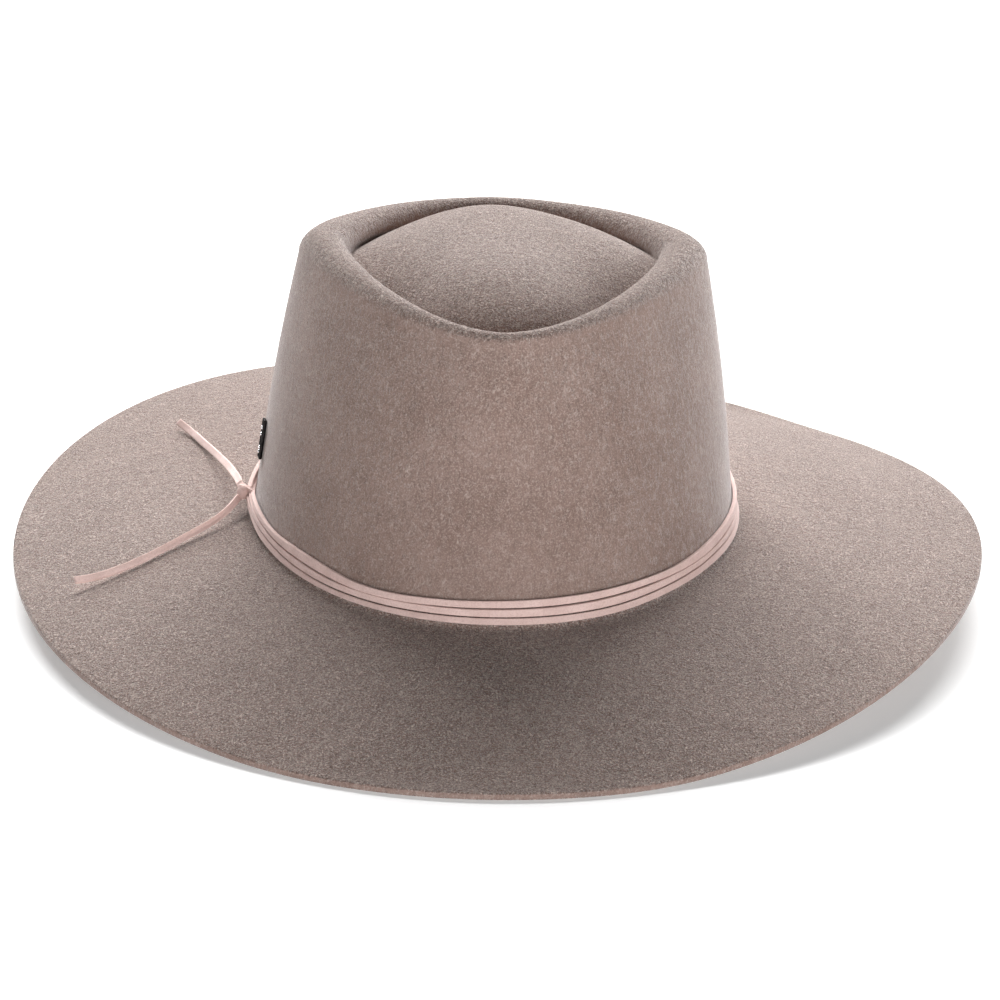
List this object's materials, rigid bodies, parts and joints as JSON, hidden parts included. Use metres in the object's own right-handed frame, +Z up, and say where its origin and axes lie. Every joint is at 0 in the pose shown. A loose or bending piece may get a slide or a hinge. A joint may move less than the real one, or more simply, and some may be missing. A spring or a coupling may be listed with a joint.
{
  "type": "wide-brim fedora",
  "caption": "Wide-brim felt fedora with a domed crown inside a pointed oval crease, a waved brim, a suede lace wound round the crown and knotted at the side, and a small metal side plate",
  "frame": {"origin": "middle of the hat's bounding box without the lace's loose ends, on the surface that the brim rests on", "axes": "+Z up, -Y the front of the hat, +X the wearer's left"},
  "size_m": [0.3402, 0.3766, 0.1261],
  "materials": {
    "felt": "brushed wool felt, taupe",
    "lace": "suede, pale pink",
    "plate": "dark gunmetal with bright studs"
  },
  "bodies": {
    "root": {"felt_body": "felt", "lace_wrap_1": "lace", "lace_wrap_2": "lace", "lace_wrap_3": "lace", "lace_knot": "lace", "lace_tail_back": "lace", "lace_tail_front": "lace", "side_plate": "plate"}
  },
  "joints": []
}
